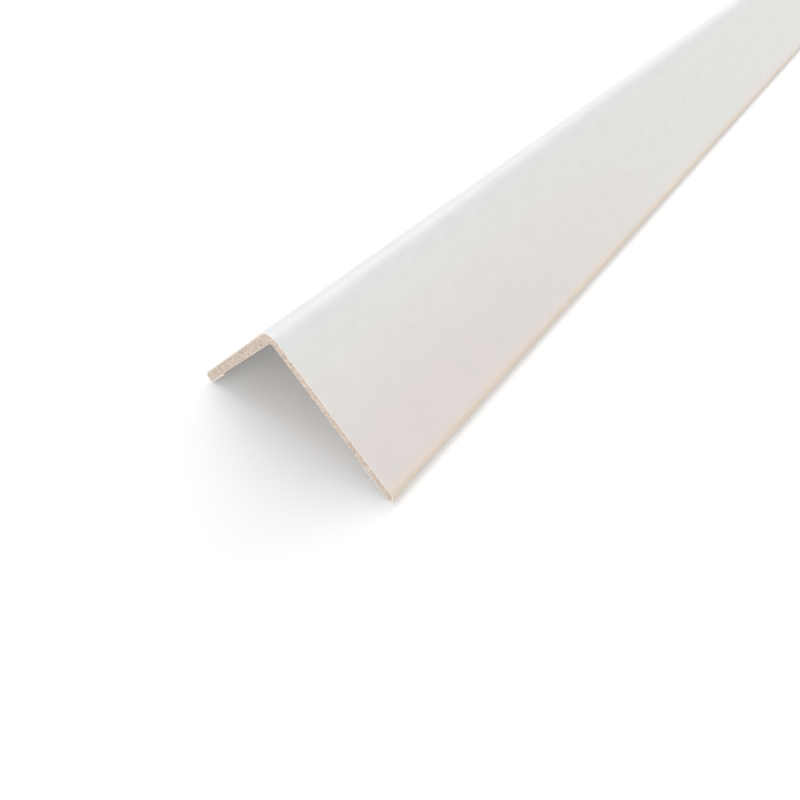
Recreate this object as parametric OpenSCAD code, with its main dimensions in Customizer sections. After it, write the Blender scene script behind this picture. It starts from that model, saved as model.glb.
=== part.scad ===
// Pallet edge protector: a laminated paper angle board with a white liner.
// It stands on its two long edges like a tent, ridge up, with its length along Y.
// The section is drawn with its sharp outer corner at [0, 0] and its legs along +X and +Y,
// then turned so that both legs run down from the ridge at 45 degrees.

/* [Angle] */
// Length of the board
length = 600; // [200:10:2400]
// Outside width of each leg, from the sharp outer corner to the long edge
leg_w = 50; // [35:1:80]
// Inside radius of the bend
bend_r = 1; // [0.5:0.25:4]

/* [Laminate] */
// Number of kraft plies glued together
ply_count = 5; // [4:1:8]
// Thickness of one ply with its glue
ply_t = 0.53; // [0.4:0.01:0.6]

/* [Liner] */
// Thickness of the white liner paper
liner_t = 0.35; // [0.2:0.05:0.5]
// Width of liner turned in over the inside of each leg
hem_w = 12; // [6:1:18]

/* [Long edges] */
// Radius of each rolled long edge on the inside
edge_r_in = 0.7; // [0.6:0.1:1.2]
// Flat left on each long edge between its inside and outside radius
edge_flat = 0.15; // [0.05:0.05:0.8]

/* [Hidden] */
$fn = 64;
// Thickness of a leg, from the liner's outside to the bare inside of the core
board_t = ply_count * ply_t + liner_t;
// Thickness of a leg at its long edge, with the turned-in liner
edge_t = board_t + liner_t;
// Outside radius of a long edge, which takes up the rest of its thickness
edge_r_out = edge_t - edge_r_in - edge_flat;
// Distance of the bend's centre from each outer face
bend_c = bend_r + board_t;
// Where the turned-in liner ends on the inside of a leg
hem_start = leg_w - hem_w;
// Turn that points both legs down from the ridge
ridge_turn = 225;
// Height of the sharp outer corner when the inside of each long edge touches the ground
ridge_z = (leg_w + edge_t - 2 * edge_r_in) / sqrt(2) + edge_r_in;
kraft = "#d0c0b2";
white = "#e2ded9";

// What rounding takes off a square corner whose arc is centred at [0, 0]
module corner_waste(r) {
    difference() {
        square(r);
        circle(r);
    }
}

// Strip from x0 to x1 and y0 to y1, with its two far corners rounded
module strip(x0, x1, y0, y1, r0, r1) {
    difference() {
        translate([x0, y0]) square([x1 - x0, y1 - y0]);
        translate([x1 - r0, y0 + r0]) rotate(-90) corner_waste(r0);
        translate([x1 - r1, y1 - r1]) corner_waste(r1);
    }
}

// Strip with square corners
module plain_strip(x0, x1, y0, y1) {
    translate([x0, y0]) square([x1 - x0, y1 - y0]);
}

// Draws its children on both legs
module both_legs() {
    children();
    mirror([1, -1]) children();
}

// Quarter ring of the bend, between two depths below the outer face
module bend(depth0, depth1) {
    translate([bend_c, bend_c]) intersection() {
        difference() {
            circle(bend_c - depth0);
            circle(bend_c - depth1);
        }
        translate([-bend_c, -bend_c]) square(bend_c);
    }
}

// Section of the glued plies
module core_section() {
    bend(liner_t, board_t);
    both_legs()
        strip(bend_c, leg_w - liner_t, liner_t, board_t, edge_r_out - liner_t, edge_r_in - liner_t);
}

// Section of the liner: over the outside, round both long edges and in over the inside
module liner_section() {
    bend(0, liner_t);
    both_legs() difference() {
        union() {
            plain_strip(bend_c, hem_start, 0, liner_t);
            strip(hem_start, leg_w, 0, edge_t, edge_r_out, edge_r_in);
        }
        core_section();
    }
}

// Runs a section along the whole length, ridge up
module along_length() {
    translate([0, length / 2, ridge_z]) rotate([90, 0, 0])
        linear_extrude(length) rotate(ridge_turn) children();
}

module kraft_core() {
    color(kraft) along_length() core_section();
}

module white_liner() {
    color(white) along_length() liner_section();
}

kraft_core();
white_liner();
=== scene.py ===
# Looks of a pallet edge protector: a laminated paper angle board with a white liner, ridge up.
import math

import bmesh
import bpy
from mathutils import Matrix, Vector, noise


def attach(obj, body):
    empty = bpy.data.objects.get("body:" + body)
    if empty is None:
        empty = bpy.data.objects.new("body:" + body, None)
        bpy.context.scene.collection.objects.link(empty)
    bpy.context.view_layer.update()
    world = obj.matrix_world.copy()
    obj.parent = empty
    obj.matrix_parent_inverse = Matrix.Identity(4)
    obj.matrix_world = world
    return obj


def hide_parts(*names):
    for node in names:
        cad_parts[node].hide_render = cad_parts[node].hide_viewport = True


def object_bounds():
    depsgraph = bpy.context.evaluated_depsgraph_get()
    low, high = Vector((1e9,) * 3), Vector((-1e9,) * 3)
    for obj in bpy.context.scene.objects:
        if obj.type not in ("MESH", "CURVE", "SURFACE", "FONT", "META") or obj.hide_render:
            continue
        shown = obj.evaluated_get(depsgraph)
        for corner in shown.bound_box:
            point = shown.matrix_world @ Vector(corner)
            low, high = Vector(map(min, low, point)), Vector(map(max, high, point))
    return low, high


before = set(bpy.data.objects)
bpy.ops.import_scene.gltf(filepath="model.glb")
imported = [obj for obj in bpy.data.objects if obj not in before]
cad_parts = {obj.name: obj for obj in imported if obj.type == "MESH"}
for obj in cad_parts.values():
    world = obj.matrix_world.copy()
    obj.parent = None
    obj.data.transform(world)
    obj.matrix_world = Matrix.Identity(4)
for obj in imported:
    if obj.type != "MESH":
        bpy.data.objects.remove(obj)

CAD_LOW, CAD_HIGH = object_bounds()

# Section of the board, in metres; the width of a leg and the length come from the CAD box
MM = 0.001
PLY_COUNT = 5
PLY_T = 0.53 * MM
LINER_T = 0.35 * MM
BEND_R = 1 * MM
HEM_W = 12 * MM
EDGE_R_IN = 0.7 * MM
EDGE_FLAT = 0.15 * MM
S45 = math.sqrt(0.5)
BOARD_T = PLY_COUNT * PLY_T + LINER_T
EDGE_T = BOARD_T + LINER_T
EDGE_R_OUT = EDGE_T - EDGE_R_IN - EDGE_FLAT
BEND_C = BEND_R + BOARD_T
HALF_ARC = BEND_C * math.pi / 4
LEG_W = (CAD_HIGH.x - EDGE_R_OUT) / S45 + 2 * EDGE_R_OUT
RIDGE_Z = (LEG_W + EDGE_T - 2 * EDGE_R_IN) * S45 + EDGE_R_IN
NEAR_Y = CAD_LOW.y
FAR_Y = CAD_HIGH.y

# How far the real board strays from its drawn form, and over what length
FACE_WAVE = 0.06 * MM
FACE_WAVE_LENGTH = 90 * MM
EDGE_WAVE = 0.10 * MM
EDGE_WAVE_LENGTH = 70 * MM
EDGE_WAVE_POWER = 4
HEM_WANDER = 0.35 * MM
HEM_WANDER_LENGTH = 60 * MM

# Cut ends: how far behind the end the blade leaves plies, fibres, glue lines, pits and the liner
PLY_RECESS = 0.10 * MM
PLY_RECESS_LENGTH = 14 * MM
FIBRE_RECESS = 0.06 * MM
FIBRE_LENGTH = 0.9 * MM
FIBRE_SLIMNESS = 4
GLUE_RECESS = 0.14 * MM
GLUE_LENGTH = 6 * MM
GLUE_SHARE = 0.05
PIT_RECESS = 0.30 * MM
PIT_LENGTH = 1.1 * MM
PIT_SLIMNESS = 3
PIT_START = 0.55
LINER_RECESS = 0.05 * MM
LINER_RECESS_LENGTH = 2.5 * MM

# Where each kind of unevenness starts in the noise, so that no two run alike
FACE_SEED, EDGE_SEED, HEM_SEED = 3.1, 7.7, 1.3
PLY_SEED, FIBRE_SEED, GLUE_SEED, PIT_SEED, LINER_SEED = 0, 5, 11, 17, 23
NEAR_END_SEED = 0
FAR_END_SEED = 40
SIDE_GAP = 9

# Spacing of the mesh
CORE_STEP = 0.3 * MM
LINER_STEP = 0.6 * MM
HEM_STEP = 1.5 * MM
ARC_STEPS = 10
BEND_STEPS = 22
STATION_STEP = 9 * MM
END_STATIONS = (0.6 * MM, 2 * MM, 5 * MM)
PLY_ROWS = (0.0, 0.1, 0.3, 0.5, 0.7, 0.9)
LINER_ROWS = (0.0, 0.5, 1.0)
CLOSEST_POINTS = 0.01 * MM
SHARP_ANGLE = math.radians(38)


# Form of the board


def drift(a, b, c):
    """Smooth noise from -1 to 1."""
    return noise.noise(Vector((a, b, c)))


def share(a, b, c):
    """Smooth noise from 0 to 1."""
    return 0.5 + 0.5 * drift(a, b, c)


def side_of(s):
    """Which leg a place is on, as a number that sets their noise apart."""
    return math.copysign(SIDE_GAP, s)


def board_point(s, depth, y):
    """Point at distance s round the section from the ridge, depth below the outer face."""
    if abs(s) <= HALF_ARC:
        angle = s / BEND_C
        radius = BEND_C - depth
        centre_z = RIDGE_Z - BEND_C / S45
        return Vector((radius * math.sin(angle), y, centre_z + radius * math.cos(angle)))
    along = BEND_C + abs(s) - HALF_ARC
    x = math.copysign((along - depth) * S45, s)
    return Vector((x, y, RIDGE_Z - (along + depth) * S45))


def wave(s, y):
    """How far the board's faces stray along their normal; the long edges stray more."""
    face = drift(s / FACE_WAVE_LENGTH, y / FACE_WAVE_LENGTH, FACE_SEED)
    edge = drift(side_of(s), y / EDGE_WAVE_LENGTH, EDGE_SEED)
    return FACE_WAVE * face + EDGE_WAVE * edge * (s / LEG_W) ** EDGE_WAVE_POWER


def core_point(s, depth, y):
    """As board_point, with the waviness of the faces."""
    return board_point(s, depth - wave(s, y), y)


def liner_point(s, depth, y):
    """As core_point, but the free edge of the turned-in liner wanders a little along the leg."""
    if depth >= BOARD_T:
        along = BEND_C + abs(s) - HALF_ARC
        looseness = max(0.0, (LEG_W - EDGE_R_OUT - along) / (HEM_W - EDGE_R_OUT))
        wander = HEM_WANDER * drift(side_of(s), y / HEM_WANDER_LENGTH, HEM_SEED)
        s += math.copysign(wander * looseness, s)
    return core_point(s, depth, y)


def from_along(along):
    """Distance round the section from the ridge to a place along a leg."""
    return HALF_ARC + along - BEND_C


def steps(start, end, spacing):
    """Evenly spaced values from start to end, both included."""
    count = max(1, round(abs(end - start) / spacing))
    return [start + (end - start) * i / count for i in range(count + 1)]


def bend_steps():
    """Distances round the bend, without its two ends."""
    return [HALF_ARC * (2 * i / BEND_STEPS - 1) for i in range(1, BEND_STEPS)]


def core_reach(depth):
    """How far along a leg the glued plies run at this depth, inside the rolled edge."""
    r_out = EDGE_R_OUT - LINER_T
    r_in = EDGE_R_IN - LINER_T
    end = LEG_W - LINER_T
    if depth < EDGE_R_OUT:
        return end - r_out + math.sqrt(max(0.0, r_out**2 - (EDGE_R_OUT - depth) ** 2))
    past_inner = depth - (BOARD_T - r_in)
    if past_inner > 0:
        return end - r_in + math.sqrt(max(0.0, r_in**2 - past_inner**2))
    return end


def core_grid():
    """Section of the plies as columns from the left edge to the right, each from outside to inside."""
    depths = [LINER_T + (ply + row) * PLY_T for ply in range(PLY_COUNT) for row in PLY_ROWS]
    depths.append(BOARD_T)
    parts = steps(1.0, 0.0, CORE_STEP / (LEG_W - BEND_C))

    def leg_column(side, part):
        return [(side * from_along(BEND_C + part * (core_reach(d) - BEND_C)), d) for d in depths]

    left = [leg_column(-1, part) for part in parts]
    bend = [[(s, d) for d in depths] for s in bend_steps()]
    right = [leg_column(1, part) for part in reversed(parts)]
    return left + bend + right


def liner_path():
    """Outside of the liner on one leg, from its turned-in edge to the bend: along, depth and normal."""
    path = [(a, EDGE_T, 0, 1) for a in steps(LEG_W - HEM_W, LEG_W - EDGE_R_IN, HEM_STEP)]
    arcs = (
        (LEG_W - EDGE_R_IN, EDGE_T - EDGE_R_IN, EDGE_R_IN, 90),
        (LEG_W - EDGE_R_OUT, EDGE_R_OUT, EDGE_R_OUT, 0),
    )
    for centre_along, centre_depth, radius, start_deg in arcs:
        for i in range(ARC_STEPS + 1):
            angle = math.radians(start_deg - 90 * i / ARC_STEPS)
            n_along = math.cos(angle)
            n_depth = math.sin(angle)
            place = (centre_along + radius * n_along, centre_depth + radius * n_depth)
            path.append((*place, n_along, n_depth))
    path += [(a, 0, 0, -1) for a in steps(LEG_W - EDGE_R_OUT, BEND_C, LINER_STEP)]
    apart = [math.dist(p[:2], q[:2]) > CLOSEST_POINTS for p, q in zip(path, path[1:])]
    return path[:1] + [p for p, keep in zip(path[1:], apart) if keep]


def liner_grid():
    """Section of the liner as columns from one turned-in edge to the other, each from outside to inside."""
    inwards = [LINER_T * row for row in LINER_ROWS]

    def leg_column(side, along, depth, n_along, n_depth):
        return [(side * from_along(along - n_along * t), depth - n_depth * t) for t in inwards]

    path = liner_path()
    left = [leg_column(-1, *point) for point in path]
    bend = [[(s, t) for t in inwards] for s in bend_steps()]
    right = [leg_column(1, *point) for point in reversed(path)]
    return left + bend + right


def core_recess(s, depth, seed):
    """How far the cut face of the plies lies behind the end: ply by ply, with glue lines and pits."""
    layer = (depth - LINER_T) / PLY_T
    ply = min(PLY_COUNT - 1, int(layer + CLOSEST_POINTS / PLY_T))
    in_ply = layer - ply
    below = layer * PLY_T
    recess = PLY_RECESS * share(s / PLY_RECESS_LENGTH, ply * SIDE_GAP, seed + PLY_SEED)
    fibre = share(s / FIBRE_LENGTH, below / FIBRE_LENGTH * FIBRE_SLIMNESS, seed + FIBRE_SEED)
    recess += FIBRE_RECESS * fibre
    if min(in_ply, 1 - in_ply) < GLUE_SHARE:
        recess += GLUE_RECESS * share(s / GLUE_LENGTH, round(layer) * SIDE_GAP, seed + GLUE_SEED)
    pit = drift(s / PIT_LENGTH, below / PIT_LENGTH * PIT_SLIMNESS, seed + PIT_SEED)
    return recess + PIT_RECESS * max(0.0, pit - PIT_START) / (1 - PIT_START)


def liner_recess(s, depth, seed):
    """How far the cut edge of the liner lies behind the end."""
    return LINER_RECESS * share(s / LINER_RECESS_LENGTH, depth / LINER_RECESS_LENGTH, seed + LINER_SEED)


def stations():
    """Places along the length, closer together near both cut ends."""
    inner = steps(NEAR_Y + END_STATIONS[-1], FAR_Y - END_STATIONS[-1], STATION_STEP)
    near = [NEAR_Y] + [NEAR_Y + d for d in END_STATIONS[:-1]]
    far = [FAR_Y - d for d in reversed(END_STATIONS[:-1])] + [FAR_Y]
    return near + inner + far


def sweep(name, grid, point, recess):
    """Runs a section grid along the length and closes both cut ends with the grid itself."""
    last_i = len(grid) - 1
    last_j = len(grid[0]) - 1
    rim = [(i, 0) for i in range(last_i + 1)]
    rim += [(last_i, j) for j in range(1, last_j + 1)]
    rim += [(i, last_j) for i in reversed(range(last_i))]
    rim += [(0, j) for j in reversed(range(1, last_j))]
    everything = [(i, j) for i in range(last_i + 1) for j in range(last_j + 1)]
    places = stations()
    ends = {0: (1, NEAR_END_SEED), len(places) - 1: (-1, FAR_END_SEED)}
    verts = []
    faces = []
    before = None
    for k, y in enumerate(places):
        inward, seed = ends.get(k, (0, 0))
        index = {}
        for i, j in everything if inward else rim:
            s, depth = grid[i][j]
            inset = inward * recess(s, depth, seed) if inward else 0.0
            index[i, j] = len(verts)
            verts.append(point(s, depth, y + inset))
        if inward:
            for i in range(last_i):
                for j in range(last_j):
                    faces.append([index[c] for c in ((i, j), (i + 1, j), (i + 1, j + 1), (i, j + 1))])
        if before:
            for a, b in zip(rim, rim[1:] + rim[:1]):
                faces.append([before[a], before[b], index[b], index[a]])
        before = index
    mesh = bpy.data.meshes.new(name)
    mesh.from_pydata(verts, [], faces)
    tidy = bmesh.new()
    tidy.from_mesh(mesh)
    bmesh.ops.recalc_face_normals(tidy, faces=tidy.faces)
    tidy.to_mesh(mesh)
    tidy.free()
    mesh.polygons.foreach_set("use_smooth", [True] * len(mesh.polygons))
    mesh.set_sharp_from_angle(angle=SHARP_ANGLE)
    piece = bpy.data.objects.new(name, mesh)
    bpy.context.scene.collection.objects.link(piece)
    return piece


# Materials: tones of the liner with its painted ridge highlight, the painted warm shade of its rolled
# edges, the cut plies, the bare inside, glue and specks

PAPER_WHITE = (0.744, 0.733, 0.698, 1)
# Painted highlight: a cool tint along the ridge, where the lamps' highlight falls
PAINTED_RIDGE_HIGHLIGHT = (0.728, 0.735, 0.750, 1)
PAPER_WARM = (0.722, 0.662, 0.636, 1)
PAPER_CLOUD = (0.668, 0.646, 0.612, 1)
PAPER_CUT = (0.92, 0.85, 0.78, 1)
# Painted shade: warm cream on the rolled long edges, which face down towards the floor
CREAM_DEEP = (0.74, 0.62, 0.50, 1)
CREAM_PALE = (0.81, 0.69, 0.57, 1)
KRAFT_DARK = (0.50, 0.40, 0.32, 1)
KRAFT_PALE = (0.915, 0.80, 0.70, 1)
KRAFT_GREY = (0.69, 0.598, 0.51, 1)
KRAFT_FLECK = (0.93, 0.85, 0.77, 1)
INSIDE_DARK = (0.50, 0.395, 0.30, 1)
INSIDE_PALE = (0.69, 0.575, 0.465, 1)
INSIDE_SHADE = (0.54, 0.435, 0.34, 1)
GLUE_TONE = (0.36, 0.27, 0.20, 1)
SPECK_TONE = (0.16, 0.12, 0.09, 1)

# Where the liner's tone changes, in millimetres down a leg from the ridge and back from the near end; the
# painted cool highlight tint of the ridge fades out by RIDGE_REACH
RIDGE_REACH = 10
WARM_START = 8
WARM_FULL = 40
WARM_LENGTH = 230

# Cream of the rolled edges, a painted warm shade, in millimetres in from the edge, and what is left of it
# on the hem
CREAM_START = 5.0
CREAM_FULL = 0.5
CREAM_WANDER = 1.6
HEM_CREAM = 0.35

# Grain, in cycles a millimetre along the leg, through the board and along the length
CUT_FIBRES = (2.2, 4.2, 1.0)
CUT_CLUMPS = (0.9, 1.8, 1.0)
INSIDE_HAIRS = (3.2, 1.0, 0.6)
INSIDE_CROSS_HAIRS = (0.8, 1.0, 2.4)
INSIDE_SHADES = (0.16, 1.0, 0.05)
PAPER_CLOUDS = (0.22, 0.22, 0.13)
PAPER_RIPPLE = (0.35, 0.35, 0.14)
PAPER_GRAIN = (3.2, 3.2, 3.2)
CREAM_MOTTLE = (0.6, 1.0, 0.12)
PLY_SHADES = 0.05
GLUE_GAPS = 0.35
SPECKS = 0.55
FLECKS = 0.9

# Limits in the noise between which each pattern goes from none to full
NOISE_MEAN = 0.5
FIBRE_LIMITS = (0.40, 0.60)
SHADE_LIMITS = (0.35, 0.65)
GLUE_LIMITS = (0.35, 0.70)
HAIR_LIMITS = (0.36, 0.64)
CLOUD_LIMITS = (0.35, 0.75)
CREAM_MOTTLE_LIMITS = (0.3, 0.7)
SHEEN_LIMITS = (0.2, 0.8)

# How much of the tone under it each pattern covers
PLY_COVER = 0.3
FLECK_COVER = 0.7
GLUE_COVER = 0.65
INSIDE_COVER = 0.35
SPECK_COVER = 0.75
CLOUD_COVER = 0.35

# Spots: their size in a cell, and the share of cells that hold one
FLECK_SIZE = 0.35
SPECK_SIZE = 0.17
SPOT_CHANCE = 0.3

# Where a glue line fades, in shares of a ply, and how squarely a cut face looks along the length
GLUE_LINE = (0.03, 0.16)
CUT_FACING = (0.45, 0.65)

# Sheen and fine relief of each material
KRAFT_ROUGH = (0.78, 0.95)
KRAFT_SPECULAR = 0.25
KRAFT_RELIEF = 0.08 * MM
KRAFT_RELIEF_STRENGTH = 0.5
HAIR_RELIEF_SHARE = 0.5
PAPER_ROUGH = (0.34, 0.50)
PAPER_SPECULAR = 0.5
PAPER_RELIEF = 0.06 * MM
PAPER_RELIEF_STRENGTH = 0.25
GRAIN_RELIEF_SHARE = 0.25


class Graph:
    """Adds nodes to a node tree and joins them; an input may be a number, a colour or a socket."""

    def __init__(self, tree):
        self.tree = tree
        tree.nodes.clear()

    def add(self, kind, inputs=(), **settings):
        node = self.tree.nodes.new(kind)
        for name, value in settings.items():
            setattr(node, name, value)
        for key, value in dict(inputs).items():
            if isinstance(value, bpy.types.NodeSocket):
                self.tree.links.new(value, node.inputs[key])
            else:
                node.inputs[key].default_value = value
        return node

    def math(self, operation, a, b=0.0):
        return self.add("ShaderNodeMath", {0: a, 1: b}, operation=operation).outputs[0]

    def times(self, a, b):
        return self.math("MULTIPLY", a, b)

    def mean(self, a, b):
        return self.times(self.math("ADD", a, b), 0.5)

    def vector(self, operation, inputs, output=0):
        return self.add("ShaderNodeVectorMath", inputs, operation=operation).outputs[output]

    def combine(self, x, y, z):
        return self.add("ShaderNodeCombineXYZ", {0: x, 1: y, 2: z}).outputs[0]

    def split(self, vector):
        return self.add("ShaderNodeSeparateXYZ", {0: vector}).outputs

    def noise(self, vector, detail=2.0, roughness=0.5):
        inputs = {"Vector": vector, "Scale": 1.0, "Detail": detail, "Roughness": roughness}
        return self.add("ShaderNodeTexNoise", inputs).outputs[0]

    def ramp(self, value, low, high, to_low=0.0, to_high=1.0):
        """Smooth step from one output to the other while the value goes from low to high."""
        inputs = {0: value, 1: low, 2: high, 3: to_low, 4: to_high}
        return self.add("ShaderNodeMapRange", inputs, interpolation_type="SMOOTHSTEP").outputs[0]

    def mix(self, factor, a, b):
        return self.add("ShaderNodeMix", {0: factor, 6: a, 7: b}, data_type="RGBA").outputs[2]


class BoardGraph(Graph):
    """Graph that knows, in millimetres, the way along a leg (along; right for the right leg alone),
    the depth below its face and the place along the length (y), and whether a face is a cut end."""

    def __init__(self, tree):
        super().__init__(tree)
        coords = self.add("ShaderNodeTexCoord").outputs
        self.place = self.vector("SCALE", {0: coords["Object"], "Scale": 1 / MM})
        x, self.y, z = self.split(self.place)
        drop = self.math("SUBTRACT", RIDGE_Z / MM, z)
        self.right = self.times(self.math("ADD", drop, x), S45)
        left = self.times(self.math("SUBTRACT", drop, x), S45)
        bend = BEND_C / MM
        past_right = self.math("MAXIMUM", self.math("SUBTRACT", bend, self.right), 0.0)
        past_left = self.math("MAXIMUM", self.math("SUBTRACT", bend, left), 0.0)
        radius = self.vector("LENGTH", {0: self.combine(past_right, past_left, 0.0)}, "Value")
        self.depth = self.math("SUBTRACT", bend, radius)
        self.along = self.math("MAXIMUM", self.right, left)
        facing_end = self.math("ABSOLUTE", self.split(coords["Normal"])[1])
        self.cut = self.ramp(facing_end, *CUT_FACING)

    def grain(self, cycles, detail=3.0, roughness=0.6):
        """Noise that follows the board, with its own number of cycles each way."""
        scaled = zip((self.along, self.depth, self.y), cycles)
        return self.noise(self.combine(*(self.times(a, n) for a, n in scaled)), detail, roughness)

    def spots(self, cycles, size, chance):
        """Spots of up to this size, in cells of which only this share holds one."""
        cells = self.add("ShaderNodeTexVoronoi", {"Vector": self.place, "Scale": cycles}).outputs
        chosen = self.math("LESS_THAN", self.split(cells["Color"])[0], chance)
        return self.times(self.ramp(cells["Distance"], size / 2, size, 1.0, 0.0), chosen)


def new_material(name, graph):
    """Empty material and the graph that fills it."""
    material = bpy.data.materials.new(name)
    material.use_nodes = True
    return material, graph(material.node_tree)


def finish_material(g, tone, rough, height, strength, depth, specular):
    """Shader with this tone and roughness, and a relief of this depth."""
    bump = g.add("ShaderNodeBump", {"Strength": strength, "Distance": depth, "Height": height}).outputs[0]
    inputs = {"Base Color": tone, "Roughness": rough, "Normal": bump, "Specular IOR Level": specular}
    shader = g.add("ShaderNodeBsdfPrincipled", inputs)
    g.add("ShaderNodeOutputMaterial", {0: shader.outputs[0]})


def kraft_material():
    """Grey-brown recycled plies: streaked and specked on the cut ends, brushed paper on the inside."""
    material, g = new_material("kraft_plies", BoardGraph)
    layer = g.math("DIVIDE", g.math("SUBTRACT", g.depth, LINER_T / MM), PLY_T / MM)
    ply = g.math("FLOOR", layer)
    in_ply = g.math("FRACT", layer)

    # Cut ends
    fibres = g.mean(g.grain(CUT_FIBRES), g.grain(CUT_CLUMPS, roughness=0.7))
    cut_tone = g.mix(g.ramp(fibres, *FIBRE_LIMITS), KRAFT_DARK, KRAFT_PALE)
    ply_at = g.combine(g.times(g.along, PLY_SHADES), g.times(ply, SIDE_GAP), 0.0)
    cut_tone = g.mix(g.ramp(g.noise(ply_at), *SHADE_LIMITS, 0.0, PLY_COVER), cut_tone, KRAFT_GREY)
    cut_tone = g.mix(g.times(g.spots(FLECKS, FLECK_SIZE, SPOT_CHANCE), FLECK_COVER), cut_tone, KRAFT_FLECK)
    to_glue = g.math("MINIMUM", in_ply, g.math("SUBTRACT", 1.0, in_ply))
    glue_at = g.combine(g.times(g.along, GLUE_GAPS), g.times(ply, SIDE_GAP), 0.0)
    glue = g.times(g.ramp(to_glue, *GLUE_LINE, 1.0, 0.0), g.ramp(g.noise(glue_at), *GLUE_LIMITS))
    cut_tone = g.mix(g.times(glue, GLUE_COVER), cut_tone, GLUE_TONE)

    # Bare inside
    hairs = g.mean(g.grain(INSIDE_HAIRS), g.grain(INSIDE_CROSS_HAIRS))
    face_tone = g.mix(g.ramp(hairs, *HAIR_LIMITS), INSIDE_DARK, INSIDE_PALE)
    inside_shade = g.ramp(g.grain(INSIDE_SHADES), *SHADE_LIMITS, 0.0, INSIDE_COVER)
    face_tone = g.mix(inside_shade, face_tone, INSIDE_SHADE)

    # Both, with specks, relief and sheen
    tone = g.mix(g.cut, face_tone, cut_tone)
    tone = g.mix(g.times(g.spots(SPECKS, SPECK_SIZE, SPOT_CHANCE), SPECK_COVER), tone, SPECK_TONE)
    height = g.math("ADD", g.times(fibres, g.cut), g.times(hairs, HAIR_RELIEF_SHARE))
    rough = g.ramp(hairs, *SHEEN_LIMITS, *KRAFT_ROUGH)
    finish_material(g, tone, rough, height, KRAFT_RELIEF_STRENGTH, KRAFT_RELIEF, KRAFT_SPECULAR)
    return material


def liner_material():
    """Coated white paper with faint clouding and a painted cool highlight tint along the ridge, turned
    cream by painted warm shade where it is rolled over the long edges.
    """
    material, g = new_material("white_liner_paper", BoardGraph)
    near = g.ramp(g.y, NEAR_Y / MM, NEAR_Y / MM + WARM_LENGTH, 1.0, 0.0)
    # Painted highlight: the ridge is tinted cool, fading to the plain white down each leg
    tone = g.mix(g.ramp(g.along, BEND_C / MM, RIDGE_REACH), PAINTED_RIDGE_HIGHLIGHT, PAPER_WHITE)
    tone = g.mix(g.times(near, g.ramp(g.right, WARM_START, WARM_FULL)), tone, PAPER_WARM)
    cloud = g.ramp(g.grain(PAPER_CLOUDS, detail=4.0), *CLOUD_LIMITS, 0.0, CLOUD_COVER)
    tone = g.mix(cloud, tone, PAPER_CLOUD)

    # Rolled edges: cream painted in as warm shade, mottled and wandering with noise
    cream_mottle = g.grain(CREAM_MOTTLE, roughness=0.55)
    reach = g.math("ADD", g.along, g.times(g.math("SUBTRACT", cream_mottle, NOISE_MEAN), CREAM_WANDER))
    rolled = g.ramp(reach, LEG_W / MM - CREAM_START, LEG_W / MM - CREAM_FULL)
    rolled = g.times(rolled, g.ramp(g.depth, BOARD_T / MM, EDGE_T / MM, 1.0, HEM_CREAM))
    tone = g.mix(rolled, tone, g.mix(g.ramp(cream_mottle, *CREAM_MOTTLE_LIMITS), CREAM_DEEP, CREAM_PALE))
    tone = g.mix(g.cut, tone, PAPER_CUT)

    # Relief and sheen
    grain = g.grain(PAPER_GRAIN)
    ripple = g.grain(PAPER_RIPPLE, detail=2.0, roughness=0.5)
    height = g.math("ADD", g.times(grain, GRAIN_RELIEF_SHARE), ripple)
    rough = g.ramp(grain, *SHEEN_LIMITS, *PAPER_ROUGH)
    finish_material(g, tone, rough, height, PAPER_RELIEF_STRENGTH, PAPER_RELIEF, PAPER_SPECULAR)
    return material


# Floor, light and camera

# Strength of the background as it is seen, and as it lights the board
SEEN_WHITE = 1.0
AMBIENT = 0.8

# Floor: its tone, the glow it adds near the board and far off, and where that changes, in metres
FLOOR_TONE = 0.75
FLOOR_LIFT = 0.17
FLOOR_LIFT_FAR = 0.5
FLOOR_LIFT_START = 0.35
FLOOR_LIFT_END = 0.9
FLOOR_SIZE = 8.0

# Camera: where it looks from, and its lens
CAMERA_AZIMUTH = math.radians(37.6)
CAMERA_ELEVATION = math.radians(48.0)
CAMERA_FROM_RIDGE_END = Vector((78 * MM, -54 * MM, 79 * MM))
CAMERA_LENS = 24.5
SENSOR_WIDTH = 36.0


def seen_directly(g):
    """1 for camera, glossy and transmission rays, which see the plain white background."""
    path = g.add("ShaderNodeLightPath").outputs
    seen = g.math("MAXIMUM", path["Is Camera Ray"], path["Is Glossy Ray"])
    return g.math("MAXIMUM", seen, path["Is Transmission Ray"])


def make_floor():
    """Pale floor that keeps shadows near the object and fades into the white background."""
    material, g = new_material("pale_floor", Graph)
    diffuse = g.add("ShaderNodeBsdfDiffuse", {"Color": (FLOOR_TONE, FLOOR_TONE, FLOOR_TONE, 1)})
    distance = g.vector("LENGTH", {0: g.add("ShaderNodeTexCoord").outputs["Object"]}, "Value")
    glow = g.ramp(distance, FLOOR_LIFT_START, FLOOR_LIFT_END, FLOOR_LIFT, FLOOR_LIFT_FAR)
    lift = g.add("ShaderNodeEmission", {"Strength": g.times(seen_directly(g), glow)})
    both = g.add("ShaderNodeAddShader", {0: diffuse.outputs[0], 1: lift.outputs[0]})
    g.add("ShaderNodeOutputMaterial", {0: both.outputs[0]})
    half = FLOOR_SIZE / 2
    corners = [(-half, -half, 0), (half, -half, 0), (half, half, 0), (-half, half, 0)]
    mesh = bpy.data.meshes.new("floor")
    mesh.from_pydata(corners, [], [(0, 1, 2, 3)])
    mesh.materials.append(material)
    floor = bpy.data.objects.new("floor", mesh)
    bpy.context.scene.collection.objects.link(floor)


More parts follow.
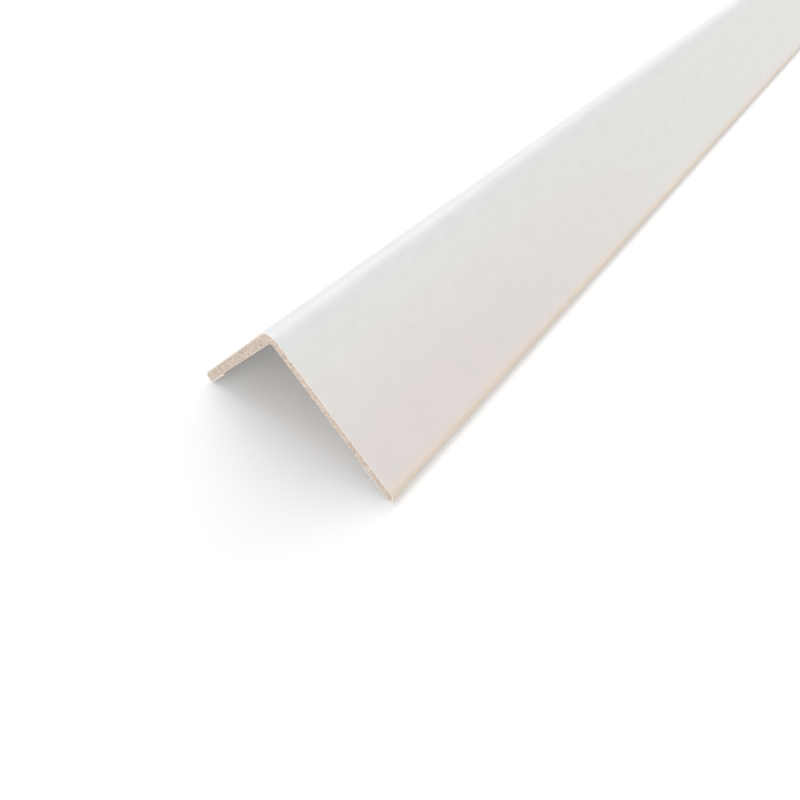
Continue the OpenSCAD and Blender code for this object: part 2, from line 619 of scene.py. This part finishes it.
def make_world():
    """White background that lights the board softly from all sides."""
    world = bpy.data.worlds.new("studio")
    world.use_nodes = True
    bpy.context.scene.world = world
    g = Graph(world.node_tree)
    white = (1, 1, 1, 1)
    soft = g.add("ShaderNodeBackground", {"Color": white, "Strength": AMBIENT})
    seen = g.add("ShaderNodeBackground", {"Color": white, "Strength": SEEN_WHITE})
    mixed = g.add("ShaderNodeMixShader", {0: seen_directly(g), 1: soft.outputs[0], 2: seen.outputs[0]})
    g.add("ShaderNodeOutputWorld", {0: mixed.outputs[0]})


def make_lamp(name, place, target, length, width, power):
    """Soft rectangular lamp at a place, turned to a target; its length lies level."""
    lamp = bpy.data.lights.new(name, "AREA")
    lamp.shape = "RECTANGLE"
    lamp.size = length
    lamp.size_y = width
    lamp.energy = power
    holder = bpy.data.objects.new(name, lamp)
    holder.location = place
    holder.rotation_mode = "QUATERNION"
    holder.rotation_quaternion = (Vector(target) - Vector(place)).to_track_quat("-Z", "Y")
    bpy.context.scene.collection.objects.link(holder)


def make_camera():
    """Camera above the near end, which looks down along the board."""
    data = bpy.data.cameras.new("camera")
    data.sensor_fit = "HORIZONTAL"
    data.sensor_width = SENSOR_WIDTH
    data.lens = CAMERA_LENS
    data.clip_start = 1 * MM
    camera = bpy.data.objects.new("camera", data)
    level = math.cos(CAMERA_ELEVATION)
    back_x = math.sin(CAMERA_AZIMUTH) * level
    back_y = -math.cos(CAMERA_AZIMUTH) * level
    back = Vector((back_x, back_y, math.sin(CAMERA_ELEVATION)))
    camera.location = board_point(0, 0, NEAR_Y) + CAMERA_FROM_RIDGE_END
    camera.rotation_mode = "QUATERNION"
    camera.rotation_quaternion = (-back).to_track_quat("-Z", "Y")
    bpy.context.scene.collection.objects.link(camera)
    bpy.context.scene.camera = camera


core = sweep("laminated_plies", core_grid(), core_point, core_recess)
core.data.materials.append(kraft_material())
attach(core, "root")
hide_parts("kraft_core")

liner = sweep("wrapped_liner", liner_grid(), liner_point, liner_recess)
liner.data.materials.append(liner_material())
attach(liner, "root")
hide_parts("white_liner")

make_floor()
make_world()
make_lamp("key", place=(-0.45, 0.4, 1.2), target=(0, 0.4, 0), length=2.0, width=0.5, power=8.5)
make_lamp("fill", place=(0.35, -1.25, 0.5), target=(0, -0.3, 0), length=1.0, width=1.0, power=2.8)
make_camera()
bpy.context.scene.view_settings.view_transform = "Standard"
